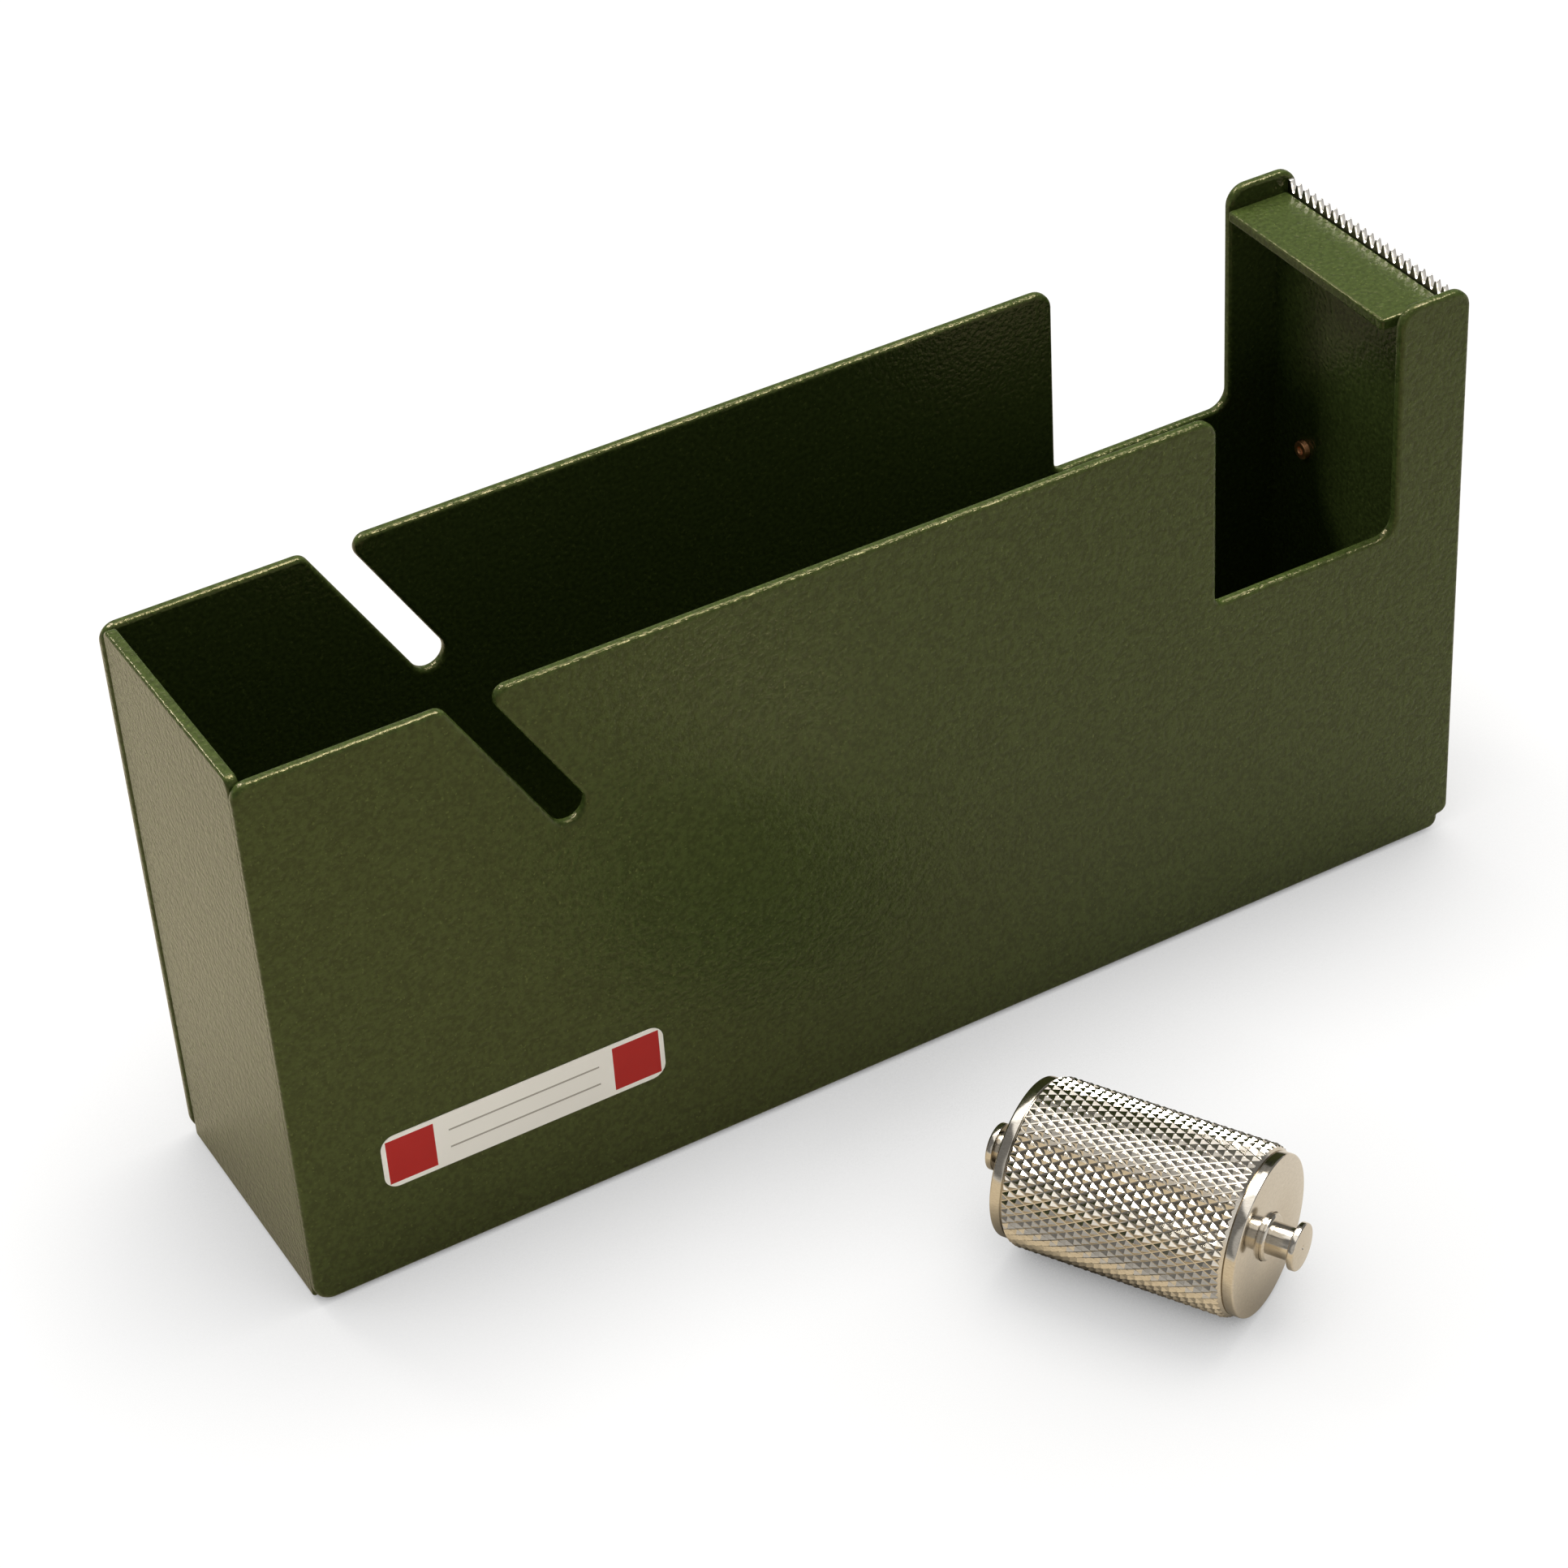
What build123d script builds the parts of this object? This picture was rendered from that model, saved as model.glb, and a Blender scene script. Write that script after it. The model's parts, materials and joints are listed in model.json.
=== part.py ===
from build123d import *
from math import cos, radians, sin
import os

# Steel tape dispenser for 50 mm tape, with its lift-out roller lying beside it.
# Millimetres. The origin is the centre of the body's footprint on the table,
# +X points to the cutter, +Y away from the label side, +Z up.

# Side plates: lengths run from the rear or front end, heights from the lower edge
BODY_LENGTH = 264.0
BODY_WIDTH = 60.0
SHEET = 2.4
WELL_HEIGHT = 122.5
EAR_HEIGHT = 130.7
TOWER_LENGTH = 16.4
GAP_LENGTH = 42.9
GAP_FLOOR = 79.4
REAR_BOTTOM_ROUND = 4.0
REAR_TOP_ROUND = 3.5
WELL_ROUND = 4.0
GAP_REAR_ROUND = 2.0
GAP_FRONT_ROUND = 4.0
EAR_INNER_ROUND = 4.5
EAR_OUTER_ROUND = 4.0
RELIEF_ROUND = 2.2
RELIEF_KINK_ROUND = 0.3
RELIEF_ROUND_SHARE = 0.85

# Slanted roller slot: centre of its round end, lean and mouth
SLOT_END_X = 62.75
SLOT_END_Z = 91.7
SLOT_LEAN = 60.0
SLOT_PLAY = 0.7
SLOT_MOUTH_ROUND = 2.7

# Plates between the side plates
REAR_INSET = 0.3
REAR_RISE = 0.4
REAR_CORNER_ROUND = 2.0
BASE_RECESS = 2.75
FRONT_RECESS = 2.55
SHELF_HEIGHT = 126.3
SHELF_DEPTH = 14.45
SHELF_NEAR_GAP = 3.1

# Cutter blade
BLADE_SHEET = 1.2
BLADE_ABOVE_SHELF = 2.7
BLADE_TALL = 67.0
BLADE_SIDE_GAP = 0.3
TOOTH_PITCH = 2.42
TOOTH_DEPTH = 2.4
TOOTH_TIP = 0.24
GULLET_ROUND = 0.4

# Blade screws
SCREW_DIAMETER = 4.0
SCREW_SPACING = 33.2
SCREW_EDGE = 8.6
SCREW_TAP_GAP = 0.1
SCREW_HOLE_GAP = 0.25
SCREW_HEAD_DIAMETER = 7.6
SCREW_HEAD_TALL = 1.3
SCREW_SLOT_WIDTH = 1.0
SCREW_SLOT_DEPTH = 0.7
SCREW_POINT_OUT = 1.1
SCREW_CUP_DIAMETER = 1.8
SCREW_CUP_DEPTH = 0.8

# Label on the near side plate
LABEL_LENGTH = 60.0
LABEL_TALL = 12.5
LABEL_SHEET = 0.15
LABEL_ROUND = 3.0
LABEL_CENTRE_X = 47.0
LABEL_CENTRE_Z = 27.0

# Rubber feet under the base plate
FOOT_DIAMETER = 12.0
FOOT_STAND = 1.0
FOOT_END_INSET = 20.0
FOOT_SIDE_INSET = 12.0

# Roller: place on the table and turned pieces along its axis
ROLLER_X = 5.4
ROLLER_Y = -105.2
ROLLER_YAW = -59.66
DRUM_DIAMETER = 33.7
DRUM_LENGTH = 44.9
DRUM_WALL = 3.0
DRUM_CHAMFER = 1.0
CAP_DIAMETER = 31.7
CAP_FLANGE = 2.4
CAP_CHAMFER = 0.35
CAP_SPIGOT = 8.0
CAP_BORE_GAP = 0.1
BUSH_WALL = 1.6
BUSH_LENGTH = 7.0
BUSH_RUNNING_GAP = 0.05
AXLE_DIAMETER = 9.3
AXLE_MIDDLE_DIAMETER = 12.0
AXLE_END_PLAY = 0.3
COLLAR_OUT = 0.85
COLLAR_CHAMFER = 0.4
NECK_DIAMETER = 6.4
HEAD_SIDE_PLAY = 0.2
HEAD_TALL = 1.4
HEAD_CHAMFER = 0.25
CENTRE_MARK_DIAMETER = 1.0
CENTRE_MARK_DEPTH = 0.6

REAR_END = -BODY_LENGTH / 2
FRONT_END = BODY_LENGTH / 2
INNER_Y = BODY_WIDTH / 2 - SHEET
LOWER_EDGE = FOOT_STAND
FRONT_FACE = FRONT_END - FRONT_RECESS
SHELF_TOP = LOWER_EDGE + SHELF_HEIGHT
SLOT_WIDTH = NECK_DIAMETER + SLOT_PLAY
BLADE_TIP = SHELF_TOP + BLADE_ABOVE_SHELF
SCREW_Z = BLADE_TIP - BLADE_TALL + SCREW_EDGE

os.makedirs("parts", exist_ok=True)


def box(x_span, y_span, z_span):
    """A block between two limits along each axis."""
    size = [high - low for low, high in (x_span, y_span, z_span)]
    centre = [(high + low) / 2 for low, high in (x_span, y_span, z_span)]
    return Pos(*centre) * Box(*size)


def rounded_outline(corners):
    """A closed outline through (x, z, radius) corners, each with its own round."""
    outline = make_face(Polyline(*[(x, z) for x, z, _ in corners], close=True))
    for x, z, radius in corners:
        corner = outline.vertices().sort_by_distance((x, z, 0))[0]
        outline = fillet(corner, radius)
    return outline


def slot_outline():
    """The roller slot, from its round end out through the top edge."""
    reach = (WELL_HEIGHT - SLOT_END_Z) / sin(radians(SLOT_LEAN)) + SLOT_WIDTH
    lane = Pos(reach / 2, 0) * Rectangle(reach, SLOT_WIDTH)
    place = Pos(REAR_END + SLOT_END_X, LOWER_EDGE + SLOT_END_Z) * Rot(0, 0, 180 - SLOT_LEAN)
    return place * (lane + Circle(SLOT_WIDTH / 2))


def side_plate_outline():
    """The punched outline of a side plate, seen from its outer side."""
    well_end = FRONT_END - TOWER_LENGTH - GAP_LENGTH
    tower_edge = FRONT_END - TOWER_LENGTH
    well_top = LOWER_EDGE + WELL_HEIGHT
    gap_floor = LOWER_EDGE + GAP_FLOOR
    ear_top = LOWER_EDGE + EAR_HEIGHT
    relief_top = LOWER_EDGE + BASE_RECESS
    relief_round = min(RELIEF_ROUND, RELIEF_ROUND_SHARE * FRONT_RECESS, RELIEF_ROUND_SHARE * BASE_RECESS)
    plate = rounded_outline([
        (REAR_END, LOWER_EDGE, REAR_BOTTOM_ROUND),
        (REAR_END, well_top, REAR_TOP_ROUND),
        (well_end, well_top, WELL_ROUND),
        (well_end, gap_floor, GAP_REAR_ROUND),
        (tower_edge, gap_floor, GAP_FRONT_ROUND),
        (tower_edge, ear_top, EAR_INNER_ROUND),
        (FRONT_END, ear_top, EAR_OUTER_ROUND),
        (FRONT_END, relief_top, relief_round),
        (FRONT_FACE, relief_top, RELIEF_KINK_ROUND),
        (FRONT_FACE, LOWER_EDGE, relief_round),
    ])
    plate -= slot_outline()
    rise = (WELL_HEIGHT - SLOT_END_Z) / sin(radians(SLOT_LEAN))
    mouth_x = REAR_END + SLOT_END_X - rise * cos(radians(SLOT_LEAN))
    half_mouth = SLOT_WIDTH / 2 / sin(radians(SLOT_LEAN))
    for x in (mouth_x - half_mouth, mouth_x + half_mouth):
        corner = plate.vertices().sort_by_distance((x, well_top, 0))[0]
        plate = fillet(corner, SLOT_MOUTH_ROUND)
    return plate


def near_side_plate():
    """Side plate towards the viewer."""
    plane = Plane.XZ.offset(INNER_Y)
    return extrude(plane * side_plate_outline(), SHEET)


def rear_wall():
    """Upright plate that closes the rear end between the side plates."""
    outer_face = REAR_END + REAR_INSET
    top = LOWER_EDGE + WELL_HEIGHT + REAR_RISE
    wall = box((outer_face, outer_face + SHEET), (-INNER_Y, INNER_Y), (LOWER_EDGE, top))
    corners = wall.edges().filter_by(Axis.X).group_by(Axis.Z)[-1]
    return fillet(corners, REAR_CORNER_ROUND)


def base_plate():
    """Bottom of the well, lifted off the table by its feet."""
    low = LOWER_EDGE + BASE_RECESS
    rear = REAR_END + REAR_INSET + SHEET
    return box((rear, FRONT_FACE), (-INNER_Y, INNER_Y), (low, low + SHEET))


def screw_places(x):
    """Where the two blade screws cross a plane square to X."""
    half = SCREW_SPACING / 2
    return [Pos(x, y, SCREW_Z) * Rot(0, 90, 0) for y in (-half, half)]


def front_wall():
    """Upright plate under the shelf, with the tapped holes for the blade."""
    low = LOWER_EDGE + BASE_RECESS + SHEET
    high = SHELF_TOP - SHEET
    wall = box((FRONT_FACE - SHEET, FRONT_FACE), (-INNER_Y, INNER_Y), (low, high))
    for place in screw_places(FRONT_FACE - SHEET / 2):
        wall -= place * Cylinder(SCREW_DIAMETER / 2 + SCREW_TAP_GAP, 2 * SHEET)
    return wall


def tape_shelf():
    """Flat shelf for the tape's end, butted to the far plate and on the front wall."""
    inner_edge = FRONT_FACE - SHELF_DEPTH
    near_end = -INNER_Y + SHELF_NEAR_GAP
    return box((inner_edge, FRONT_FACE), (near_end, INNER_Y), (SHELF_TOP - SHEET, SHELF_TOP))


def gullet():
    """One gap between two teeth, with a round bottom, drawn about its own tip line."""
    half_mouth = (TOOTH_PITCH - TOOTH_TIP) / 2
    mouth = Line((-half_mouth, 0), (half_mouth, 0))
    bottom = Pos(0, GULLET_ROUND - TOOTH_DEPTH) * Circle(GULLET_ROUND)
    return make_hull(mouth.edges() + bottom.edges())


def cutter_blade():
    """Saw-toothed plate screwed to the front wall, its teeth above the shelf."""
    half_width = INNER_Y - BLADE_SIDE_GAP
    plate = Pos(0, BLADE_TIP - BLADE_TALL / 2) * Rectangle(2 * half_width, BLADE_TALL)
    count = int(2 * half_width / TOOTH_PITCH)
    first = -(count - 1) / 2 * TOOTH_PITCH
    one_gullet = gullet()
    plate -= [Pos(first + i * TOOTH_PITCH, BLADE_TIP) * one_gullet for i in range(count)]
    blade = extrude(Plane.YZ.offset(FRONT_FACE) * plate, BLADE_SHEET)
    for place in screw_places(FRONT_FACE + BLADE_SHEET / 2):
        blade -= place * Cylinder(SCREW_DIAMETER / 2 + SCREW_HOLE_GAP, 2 * BLADE_SHEET)
    return blade


def blade_screw():
    """Low slotted screw along +X, its head seated at x = 0."""
    reach = BLADE_SHEET + SHEET + SCREW_POINT_OUT
    shank = Pos(-reach / 2, 0, 0) * Rot(0, 90, 0) * Cylinder(SCREW_DIAMETER / 2, reach)
    head = Rot(0, 90, 0) * Cylinder(SCREW_HEAD_DIAMETER / 2, SCREW_HEAD_TALL)
    head = Pos(SCREW_HEAD_TALL / 2, 0, 0) * head
    slot_floor = SCREW_HEAD_TALL - SCREW_SLOT_DEPTH
    half_slot = SCREW_SLOT_WIDTH / 2
    slot_span = (-SCREW_HEAD_DIAMETER, SCREW_HEAD_DIAMETER)
    slot = box((slot_floor, SCREW_HEAD_TALL), slot_span, (-half_slot, half_slot))
    cup = Rot(0, 90, 0) * Cylinder(SCREW_CUP_DIAMETER / 2, SCREW_CUP_DEPTH)
    cup = Pos(SCREW_CUP_DEPTH / 2 - reach, 0, 0) * cup
    return head + shank - slot - cup


def blade_screws():
    """The two blade screws as one group of separate solids."""
    seat = FRONT_FACE + BLADE_SHEET
    half = SCREW_SPACING / 2
    return Compound([Pos(seat, y, SCREW_Z) * blade_screw().solid() for y in (-half, half)])


def blank_label():
    """Bare sticker on the near side plate."""
    sticker = RectangleRounded(LABEL_LENGTH, LABEL_TALL, LABEL_ROUND)
    plane = Plane.XZ.offset(BODY_WIDTH / 2)
    place = Pos(REAR_END + LABEL_CENTRE_X, LOWER_EDGE + LABEL_CENTRE_Z)
    return extrude(plane * (place * sticker), LABEL_SHEET)


def foot(x, y):
    """One rubber foot, from the table up to the underside of the base plate."""
    tall = FOOT_STAND + BASE_RECESS
    return Pos(x, y, tall / 2) * Cylinder(FOOT_DIAMETER / 2, tall)


def turned(profile):
    """A piece turned about the roller's axis from (along, radius) points."""
    return revolve(make_face(Polyline(*profile, close=True)), Axis.X)


def roller_drum():
    """Plain outer size of the knurled tube, chamfered at both ends."""
    outer = DRUM_DIAMETER / 2
    inner = outer - DRUM_WALL
    half = DRUM_LENGTH / 2
    shoulder = half - DRUM_CHAMFER
    end_radius = outer - DRUM_CHAMFER
    return turned([
        (-half, inner),
        (half, inner),
        (half, end_radius),
        (shoulder, outer),
        (-shoulder, outer),
        (-half, end_radius),
    ])


def drum_cap():
    """End cap on the +X end: flange outside the tube, spigot pressed into it."""
    seat = DRUM_LENGTH / 2
    spigot = DRUM_DIAMETER / 2 - DRUM_WALL
    bore = AXLE_DIAMETER / 2 + CAP_BORE_GAP
    bush_seat = AXLE_DIAMETER / 2 + BUSH_RUNNING_GAP + BUSH_WALL
    inner_end = seat - CAP_SPIGOT
    return turned([
        (inner_end, bush_seat),
        (inner_end, spigot),
        (seat, spigot),
        (seat, CAP_DIAMETER / 2),
        (seat + CAP_FLANGE - CAP_CHAMFER, CAP_DIAMETER / 2),
        (seat + CAP_FLANGE, CAP_DIAMETER / 2 - CAP_CHAMFER),
        (seat + CAP_FLANGE, bore),
        (inner_end + BUSH_LENGTH, bore),
        (inner_end + BUSH_LENGTH, bush_seat),
    ])


def bush():
    """Plain bush pressed into the +X cap, in which the axle turns."""
    inner_end = DRUM_LENGTH / 2 - CAP_SPIGOT
    bore = AXLE_DIAMETER / 2 + BUSH_RUNNING_GAP
    return turned([
        (inner_end, bore),
        (inner_end + BUSH_LENGTH, bore),
        (inner_end + BUSH_LENGTH, bore + BUSH_WALL),
        (inner_end, bore + BUSH_WALL),
    ])


def roller_axle():
    """Turned rod: thick middle trapped between the bushes, then a collar, a neck and a head at each end."""
    shoulder = DRUM_LENGTH / 2 - CAP_SPIGOT - AXLE_END_PLAY
    neck_start = DRUM_LENGTH / 2 + CAP_FLANGE + COLLAR_OUT
    neck_end = BODY_WIDTH / 2 + HEAD_SIDE_PLAY
    tip = neck_end + HEAD_TALL
    rod = AXLE_DIAMETER / 2
    half = [
        (shoulder, AXLE_MIDDLE_DIAMETER / 2),
        (shoulder, rod),
        (neck_start - COLLAR_CHAMFER, rod),
        (neck_start, rod - COLLAR_CHAMFER),
        (neck_start, NECK_DIAMETER / 2),
        (neck_end, NECK_DIAMETER / 2),
        (neck_end, rod),
        (tip - HEAD_CHAMFER, rod),
        (tip, rod - HEAD_CHAMFER),
        (tip, CENTRE_MARK_DIAMETER / 2),
        (tip - CENTRE_MARK_DEPTH, 0),
    ]
    other_half = [(-x, radius) for x, radius in reversed(half)]
    return turned(half + other_half)


def place_on_table(piece):
    """Lays a roller piece on the table, where the roller rests on its drum."""
    return Pos(ROLLER_X, ROLLER_Y, DRUM_DIAMETER / 2) * Rot(0, 0, ROLLER_YAW) * piece


def make_parts():
    """Every piece by its name."""
    near_plate = near_side_plate()
    right_cap = drum_cap()
    right_bush = bush()
    parts = {
        "near_side_plate": near_plate,
        "far_side_plate": mirror(near_plate, about=Plane.XZ),
        "rear_wall": rear_wall(),
        "base_plate": base_plate(),
        "front_wall": front_wall(),
        "tape_shelf": tape_shelf(),
        "cutter_blade": cutter_blade(),
        "blade_screws": blade_screws(),
        "blank_label": blank_label(),
        "roller_drum": place_on_table(roller_drum()),
        "drum_cap_right": place_on_table(right_cap),
        "drum_cap_left": place_on_table(mirror(right_cap, about=Plane.YZ)),
        "bush_right": place_on_table(right_bush),
        "bush_left": place_on_table(mirror(right_bush, about=Plane.YZ)),
        "roller_axle": place_on_table(roller_axle()),
    }
    foot_x = BODY_LENGTH / 2 - FOOT_END_INSET
    foot_y = BODY_WIDTH / 2 - FOOT_SIDE_INSET
    for end, x in (("rear", -foot_x), ("front", foot_x)):
        for side, y in (("near", -foot_y), ("far", foot_y)):
            parts[f"foot_{end}_{side}"] = foot(x, y)
    return parts


for name, piece in make_parts().items():
    export_step(piece, f"parts/{name}.step")
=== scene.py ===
"""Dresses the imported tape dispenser: painted plates, cutter, label, feet and knurled roller."""
import json
import logging
import math
from dataclasses import dataclass
from enum import Enum
from typing import Any, Optional, Sequence

import bmesh
import bpy
from mathutils import Matrix, Vector


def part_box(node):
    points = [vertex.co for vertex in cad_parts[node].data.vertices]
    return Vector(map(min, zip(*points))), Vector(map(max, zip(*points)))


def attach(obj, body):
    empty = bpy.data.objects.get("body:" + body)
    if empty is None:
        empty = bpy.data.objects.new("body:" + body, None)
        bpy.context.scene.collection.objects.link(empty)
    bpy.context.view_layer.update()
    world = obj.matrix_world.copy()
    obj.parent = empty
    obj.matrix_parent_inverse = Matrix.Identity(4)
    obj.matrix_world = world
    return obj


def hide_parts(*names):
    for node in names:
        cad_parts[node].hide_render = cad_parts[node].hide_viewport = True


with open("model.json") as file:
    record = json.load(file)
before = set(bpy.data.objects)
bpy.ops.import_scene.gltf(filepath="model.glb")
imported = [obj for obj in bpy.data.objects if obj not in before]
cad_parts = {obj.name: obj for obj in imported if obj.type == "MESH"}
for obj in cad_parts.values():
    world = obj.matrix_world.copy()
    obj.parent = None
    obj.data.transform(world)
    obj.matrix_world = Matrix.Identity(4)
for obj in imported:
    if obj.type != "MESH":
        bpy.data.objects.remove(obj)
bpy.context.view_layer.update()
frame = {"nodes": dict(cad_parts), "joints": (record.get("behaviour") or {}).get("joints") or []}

LOG = logging.getLogger("tape_dispenser")
MM = 0.001
WHITE = "#ffffff"
FULL_TURN = 2 * math.pi
# Points closer than this, in metres, are one point.
WELD = 1e-6
# Triangles that meet at a smaller angle than this are one flat face.
COPLANAR = math.radians(0.4)
# Edges that turn by more than this get a round.
SHARP = math.radians(40)
# Facets across a turned corner.
CORNER_SEGMENTS = 4

Colour = tuple[float, float, float, float]
Pair = tuple[float, float]
Point = tuple[float, float, float]
Links = dict[str | int, Any]


class Body(Enum):
    """The bodies that move as one."""

    SHELL = "dispenser_body"
    AXLE = "axle"
    DRUM = "drum"


class Slot(Enum):
    """The record's material slots."""

    PAINT = "painted_steel"
    BLADE = "blade_steel"
    SCREW = "screw_zinc"
    LABEL = "label_film"
    FOOT = "foot_rubber"
    ROLLER = "roller_nickel"
    BUSH = "bush_bronze"


def linear(code: str) -> Colour:
    """Turns an sRGB hex colour into linear light.

    Args:
        code: six hex digits, with or without a leading #.

    Returns:
        Red, green, blue and an alpha of one.
    """
    digits = code.lstrip("#")
    values = [int(digits[i:i + 2], 16) / 255 for i in (0, 2, 4)]
    light = [v / 12.92 if v <= 0.04045 else ((v + 0.055) / 1.055) ** 2.4 for v in values]
    return (light[0], light[1], light[2], 1.0)


def add_node(
    tree: bpy.types.NodeTree, kind: str, links: Optional[Links] = None, **settings: Any
) -> bpy.types.Node:
    """Adds one node with its settings, its values and its links.

    Args:
        tree: the node tree that gets the node.
        kind: Blender's name of the node type.
        links: a value, or another node's output, for each input named or numbered here.
        **settings: the node's own properties.

    Returns:
        The new node.
    """
    node = tree.nodes.new(kind)
    for name, value in settings.items():
        setattr(node, name, value)
    for socket, source in (links or {}).items():
        if isinstance(source, bpy.types.NodeSocket):
            tree.links.new(source, node.inputs[socket])
        else:
            node.inputs[socket].default_value = source
    return node


def set_ramp(node: bpy.types.Node, places: Pair, codes: tuple[str, str]) -> None:
    """Gives a colour ramp its two stops.

    Args:
        node: the Color Ramp node.
        places: where the stops stand, from 0 to 1.
        codes: the stops' sRGB hex colours.
    """
    for element, place, code in zip(node.color_ramp.elements, places, codes):
        element.position = place
        element.color = linear(code)


@dataclass(frozen=True)
class Finish:
    """What a surface is made of and how it was made."""

    name: str
    slot: Slot

    def material(self) -> bpy.types.Material:
        """Makes this finish's one material, on first use.

        Returns:
            The material, which is the same one on every call.
        """
        made = bpy.data.materials.get(self.name)
        if made is not None:
            return made
        made = bpy.data.materials.new(self.name)
        made.use_nodes = True
        tree = made.node_tree
        tree.nodes.clear()
        shader = add_node(tree, "ShaderNodeBsdfPrincipled", self.surface(tree))
        add_node(tree, "ShaderNodeOutputMaterial", {"Surface": shader.outputs["BSDF"]})
        return made

    def surface(self, tree: bpy.types.NodeTree) -> Links:
        """The shader's inputs and the textures that feed them; each finish has its own."""
        raise NotImplementedError


@dataclass(frozen=True)
class PowderCoat(Finish):
    """Baked olive powder coat: glossy, but pebbled, so that a reflection breaks up into grain."""

    # Painted shade and light: the base colour follows the bump's height, darker in the pebbles'
    # hollows and lighter on their crests.
    crest: str = "#3e4b24"
    shaded_hollow: str = "#323d1c"
    # Painted highlight: sparse lighter specks in the base colour stand in for glints off the
    # pebbles.
    painted_glint: str = "#4e5a2e"
    ior: float = 1.31
    gloss_tint: str = "#ffe7b3"
    roughness: float = 0.2
    # The pebbles are drawn taller than they stand on real paint, so that they show.
    grain_mm: float = 0.95
    grain_height_mm: float = 0.18
    grain_detail: float = 2.0
    grain_raggedness: float = 0.45
    tone_stops: Pair = (0.36, 0.64)
    painted_glint_mm: float = 0.7
    painted_glint_detail: float = 1.0
    painted_glint_window: Pair = (0.66, 0.74)

    def surface(self, tree: bpy.types.NodeTree) -> Links:
        """Pebble grain in bump, with painted shade in its hollows, painted light on its crests and
        sparse painted glints.

        Args:
            tree: the material's node tree.

        Returns:
            The shader's inputs.
        """
        place = add_node(tree, "ShaderNodeTexCoord").outputs["Object"]
        grain = add_node(
            tree,
            "ShaderNodeTexNoise",
            {
                "Vector": place,
                "Scale": 1 / (self.grain_mm * MM),
                "Detail": self.grain_detail,
                "Roughness": self.grain_raggedness,
            },
        ).outputs["Fac"]
        # Painted shade in the hollows and painted light on the crests, from the noise that drives
        # the bump.
        tone = add_node(tree, "ShaderNodeValToRGB", {"Fac": grain})
        set_ramp(tone, self.tone_stops, (self.shaded_hollow, self.crest))
        # Painted glints: a finer noise lightens sparse specks of the base colour.
        painted_glints = add_node(
            tree,
            "ShaderNodeTexNoise",
            {"Vector": place, "Scale": 1 / (self.painted_glint_mm * MM), "Detail": self.painted_glint_detail},
        )
        lit = add_node(
            tree,
            "ShaderNodeMapRange",
            {
                "Value": painted_glints.outputs["Fac"],
                "From Min": self.painted_glint_window[0],
                "From Max": self.painted_glint_window[1],
            },
        )
        shade = add_node(
            tree,
            "ShaderNodeMix",
            {
                "Factor": lit.outputs["Result"],
                "A": tone.outputs["Color"],
                "B": linear(self.painted_glint),
            },
            data_type="RGBA",
        )
        bump = add_node(
            tree,
            "ShaderNodeBump",
            {"Strength": 1.0, "Distance": self.grain_height_mm * MM, "Height": grain},
        )
        return {
            "Base Color": shade.outputs["Result"],
            "Roughness": self.roughness,
            "IOR": self.ior,
            "Specular Tint": linear(self.gloss_tint),
            "Normal": bump.outputs["Normal"],
        }


@dataclass(frozen=True)
class PlatedMetal(Finish):
    """Bright metal with fine wiping marks, which give its mirror a faint unevenness."""

    colour: str = "#c8c1b5"
    dull_colour: str = "#bbb4a8"
    roughness: float = 0.13
    roughness_swing: float = 0.3
    # Real wiping marks are finer than this; they are drawn as coarse as they need to show.
    mark_mm: float = 0.8
    mark_stretch: float = 6.0
    mark_height_mm: float = 0.0006
    mark_detail: float = 3.0
    tone_stops: Pair = (0.35, 0.65)

    def surface(self, tree: bpy.types.NodeTree) -> Links:
        """Cloudy tone and drawn-out marks in roughness and bump.

        Args:
            tree: the material's node tree.

        Returns:
            The shader's inputs.
        """
        place = add_node(tree, "ShaderNodeTexCoord").outputs["Object"]
        drawn = add_node(
            tree,
            "ShaderNodeMapping",
            {"Vector": place, "Scale": (1.0, 1.0, self.mark_stretch)},
        )
        marks = add_node(
            tree,
            "ShaderNodeTexNoise",
            {
                "Vector": drawn.outputs["Vector"],
                "Scale": 1 / (self.mark_mm * MM),
                "Detail": self.mark_detail,
            },
        ).outputs["Fac"]
        tone = add_node(tree, "ShaderNodeValToRGB", {"Fac": marks})
        set_ramp(tone, self.tone_stops, (self.dull_colour, self.colour))
        rough = add_node(
            tree,
            "ShaderNodeMapRange",
            {
                "Value": marks,
                "To Min": self.roughness * (1 - self.roughness_swing),
                "To Max": self.roughness * (1 + self.roughness_swing),
            },
        )
        bump = add_node(
            tree,
            "ShaderNodeBump",
            {"Strength": 1.0, "Distance": self.mark_height_mm * MM, "Height": marks},
        )
        return {
            "Base Color": tone.outputs["Color"],
            "Metallic": 1.0,
            "Roughness": rough.outputs["Result"],
            "Normal": bump.outputs["Normal"],
        }


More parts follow.
